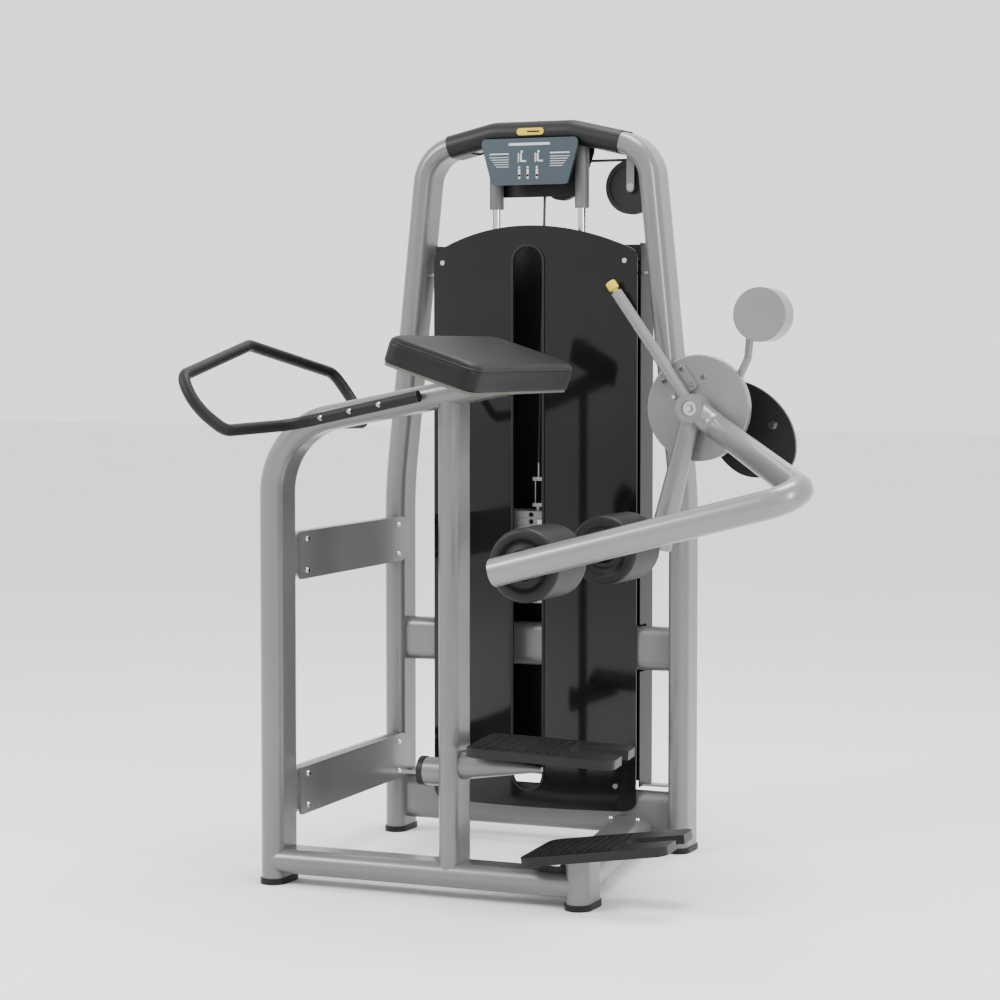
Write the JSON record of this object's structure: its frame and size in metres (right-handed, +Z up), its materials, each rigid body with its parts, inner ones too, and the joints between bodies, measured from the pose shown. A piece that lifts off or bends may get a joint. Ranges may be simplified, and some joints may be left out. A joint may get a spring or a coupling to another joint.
{
  "type": "standing hip extension machine",
  "caption": "Standing hip-extension gym machine: enclosed weight stack, cam-driven press arm with foam rollers, elbow pad, handle loop and foot plates.",
  "frame": {"origin": "on the floor, under the middle of the machine's overall box", "axes": "+Z up; +X from the user's front to the user's back; +Y from the free side to the weight tower"},
  "size_m": [1.283, 1.0662, 1.6],
  "materials": {
    "frame_paint": "semi-gloss silver-grey paint",
    "arm_paint": "semi-gloss silver-grey paint",
    "black_gloss": "gloss",
    "black_metal": "satin",
    "black_plastic": "matte",
    "rubber": "matte",
    "vinyl": "grained",
    "foam": "satin skin",
    "steel": "brushed",
    "chrome": "polished",
    "grey_plastic": "matte",
    "placard_face": "satin",
    "yellow": "gloss",
    "plate_iron": "satin grey",
    "board": "plywood",
    "cable": "black nylon-coated"
  },
  "bodies": {
    "frame": {"arch_frame": "frame_paint", "lower_cross_tube": "frame_paint", "middle_cross_tube": "frame_paint", "rubber_feet": "rubber", "top_cover": "black_plastic", "placard": "placard_face", "placard_bracket": "black_metal", "rear_pulley_cover": "black_metal", "guide_rods": "chrome", "rod_sleeves": "grey_plastic", "stack_bumpers": "rubber", "plates_at_rest": "plate_iron", "pulley_hangers": "frame_paint", "pulley_axles": "steel", "lift_cable": "cable", "cable_drop": "cable", "bearing_housing": "frame_paint", "pivot_bearings": "steel", "front_shroud": "black_gloss", "slot_trim": "black_plastic", "rear_shroud": "black_plastic", "dome_screws": "chrome", "shroud_standoffs": "steel", "front_post_arm": "frame_paint", "centre_post": "frame_paint", "base_beam": "frame_paint", "side_braces": "frame_paint", "brace_covers": "frame_paint", "right_base_brace": "frame_paint", "grip_loop": "rubber", "tube_plugs": "black_plastic", "pad_mount_plate": "black_metal", "pad_board": "board", "elbow_pad": "vinyl", "upper_step_bracket": "frame_paint", "upper_step": "black_plastic", "lower_step": "black_plastic"},
    "cam": {"pivot_shaft": "steel", "cam": "black_metal", "shaft_bolts": "chrome", "cam_cable": "cable"},
    "press_arm": {"arm_hub": "arm_paint", "range_disc": "arm_paint", "disc_bolts": "chrome", "range_lever": "arm_paint", "arm_tube": "arm_paint", "far_lever": "arm_paint", "roller_axle": "steel", "counterweight": "arm_paint"},
    "button": {"release_button": "yellow"},
    "near_roller": {"near_roller": "foam"},
    "far_roller": {"far_roller": "foam"},
    "carriage": {"plates_lifted": "plate_iron", "top_plate": "plate_iron", "selector_stem": "steel", "cable_fitting": "steel"},
    "pin": {"selector_pin": "black_plastic"},
    "right_pulley": {"right_pulley": "black_plastic"},
    "centre_pulley": {"centre_pulley": "black_plastic"}
  },
  "joints": [
    {"name": "cam_spin", "type": "hinge", "parent": "frame", "child": "cam", "pos_m": [0.1541, 0.4591, 0.973], "axis": [0, -1, 0], "range_deg": [0, 70]},
    {"name": "start_position", "type": "hinge", "parent": "cam", "child": "press_arm", "pos_m": [0.1541, 0.4591, 0.973], "axis": [0, -1, 0], "range_deg": [-15, 30]},
    {"name": "near_roller_spin", "type": "hinge", "parent": "press_arm", "child": "near_roller", "pos_m": [0.0831, -0.1849, 0.692], "axis": [0, 1, 0], "continuous": true},
    {"name": "far_roller_spin", "type": "hinge", "parent": "press_arm", "child": "far_roller", "pos_m": [0.0831, -0.1849, 0.692], "axis": [0, 1, 0], "continuous": true},
    {"name": "release_button", "type": "slide", "parent": "press_arm", "child": "button", "axis": [-0.5736, 0, 0.8192], "range_m": [-0.006, 0], "stiffness_N_per_m": 400},
    {"name": "stack_lift", "type": "slide", "parent": "frame", "child": "carriage", "axis": [0, 0, 1], "range_m": [0, 0.0707], "deforming": ["cable_drop"]},
    {"name": "selector_pin", "type": "slide", "parent": "carriage", "child": "pin", "axis": [0, -1, 0], "range_m": [0, 0.06]},
    {"name": "right_pulley_spin", "type": "hinge", "parent": "frame", "child": "right_pulley", "pos_m": [-0.0432, 0.4941, 1.454], "axis": [0, 1, 0], "range_deg": [0, 68]},
    {"name": "centre_pulley_spin", "type": "hinge", "parent": "frame", "child": "centre_pulley", "pos_m": [-0.2083, 0.4941, 1.471], "axis": [0, 1, 0], "range_deg": [0, 95]}
  ],
  "couplings": [
    {"joint": "stack_lift", "follows": "cam_spin", "m_per_rad": 0.0576},
    {"joint": "right_pulley_spin", "follows": "cam_spin", "ratio": 0.96644},
    {"joint": "centre_pulley_spin", "follows": "cam_spin", "ratio": 1.3521}
  ]
}
